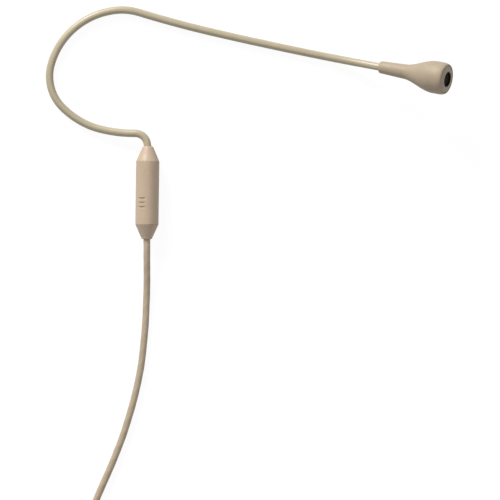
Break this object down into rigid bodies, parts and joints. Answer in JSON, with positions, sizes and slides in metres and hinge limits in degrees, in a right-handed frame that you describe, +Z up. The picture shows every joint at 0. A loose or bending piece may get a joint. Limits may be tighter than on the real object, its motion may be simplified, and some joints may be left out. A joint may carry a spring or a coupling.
{
  "type": "headset microphone",
  "caption": "Beige single-ear headworn microphone: flared capsule housing on a thin formed boom and ear hook, tapered slug, cable, and a locking jack plug.",
  "frame": {"origin": "centre of the object's footprint, without its cable, on the table it lies on", "axes": "+X along the boom towards the capsule, +Y away from the cable, +Z up out of the table"},
  "size_m": [0.1417, 0.214, 0.0236],
  "materials": {
    "beige_plastic": "matte soft-touch",
    "slug_plastic": "matte soft-touch",
    "tube_sheath": "matte",
    "cable_jacket": "satin",
    "beige_rubber": "matte",
    "form_wire": "drawn",
    "lead_jacket": "satin",
    "copper": "bare",
    "brass": "satin",
    "gold_plate": "polished",
    "bright_steel": "satin",
    "dark_steel": "satin",
    "metal_film": "polished",
    "circuit_board": "satin",
    "black_chip": "matte",
    "white_resin": "satin",
    "black_resin": "gloss",
    "black_mesh": "blackened",
    "black_felt": "felt",
    "black_rubber": "matte",
    "black_strap": "hook and loop"
  },
  "bodies": {
    "root": {"slug_sleeve": "slug_plastic", "slug_top_cap": "slug_plastic", "slug_bottom_cap": "slug_plastic", "tube_anchor": "brass", "splice_board": "circuit_board", "splice_components": "black_chip", "splice_leads": "copper", "cable_crimp": "bright_steel", "hook_tube_lower": "tube_sheath", "hook_wire_lower": "form_wire", "hook_lead_lower": "lead_jacket", "hook_flex_tube": "tube_sheath", "hook_flex_wire": "form_wire", "hook_flex_lead": "lead_jacket", "cable": "cable_jacket", "cable_coil": "cable_jacket", "coil_ties": "black_strap", "plug_boot": "beige_rubber", "plug_barrel": "bright_steel", "cable_clamp": "brass", "collar_clip": "dark_steel", "jack_sleeve": "gold_plate", "jack_ring": "gold_plate", "jack_tip": "gold_plate", "jack_insulators": "black_resin", "solder_lugs": "brass"},
    "ear_hook": {"hook_tube_upper": "tube_sheath", "hook_wire_upper": "form_wire", "hook_lead_upper": "lead_jacket", "boom_flex_tube": "tube_sheath", "boom_flex_wire": "form_wire", "boom_flex_lead": "lead_jacket"},
    "boom": {"boom_tube": "tube_sheath", "boom_wire": "form_wire", "boom_lead": "lead_jacket", "neck_flex_tube": "tube_sheath", "neck_flex_wire": "form_wire", "neck_flex_lead": "lead_jacket"},
    "capsule": {"neck_tube": "tube_sheath", "neck_wire": "form_wire", "neck_lead": "lead_jacket", "capsule_body": "beige_plastic", "capsule_nose": "beige_plastic", "inlet_screen": "black_mesh", "felt_disc": "black_felt", "electret_can": "bright_steel", "diaphragm_ring": "brass", "diaphragm": "metal_film", "backplate": "brass", "backplate_holder": "white_resin", "fet_board": "circuit_board", "fet_chip": "black_chip", "can_gasket": "black_rubber", "lead_tails": "copper", "neck_ferrule": "brass"},
    "collar": {"lock_collar": "bright_steel"}
  },
  "joints": [
    {"name": "hook_flex", "type": "hinge", "parent": "root", "child": "ear_hook", "pos_m": [-0.07009, 0.01662, 0.00132], "axis": [0, 0, 1], "range_deg": [-10, 12], "deforming": ["hook_flex_tube", "hook_flex_wire", "hook_flex_lead"]},
    {"name": "boom_bend", "type": "hinge", "parent": "ear_hook", "child": "boom", "pos_m": [-0.04241, 0.03969, 0.00132], "axis": [0, 0, 1], "range_deg": [-15, 15], "deforming": ["boom_flex_tube", "boom_flex_wire", "boom_flex_lead"]},
    {"name": "capsule_aim", "type": "hinge", "parent": "boom", "child": "capsule", "pos_m": [0.03923, 0.02088, 0.00455], "axis": [-0.1994, -0.9799, 0], "range_deg": [-12, 30], "deforming": ["neck_flex_tube", "neck_flex_wire", "neck_flex_lead"]},
    {"name": "collar_spin", "type": "hinge", "parent": "root", "child": "collar", "pos_m": [0.0205, -0.1688, 0.004], "axis": [1, 0, 0], "continuous": true}
  ]
}
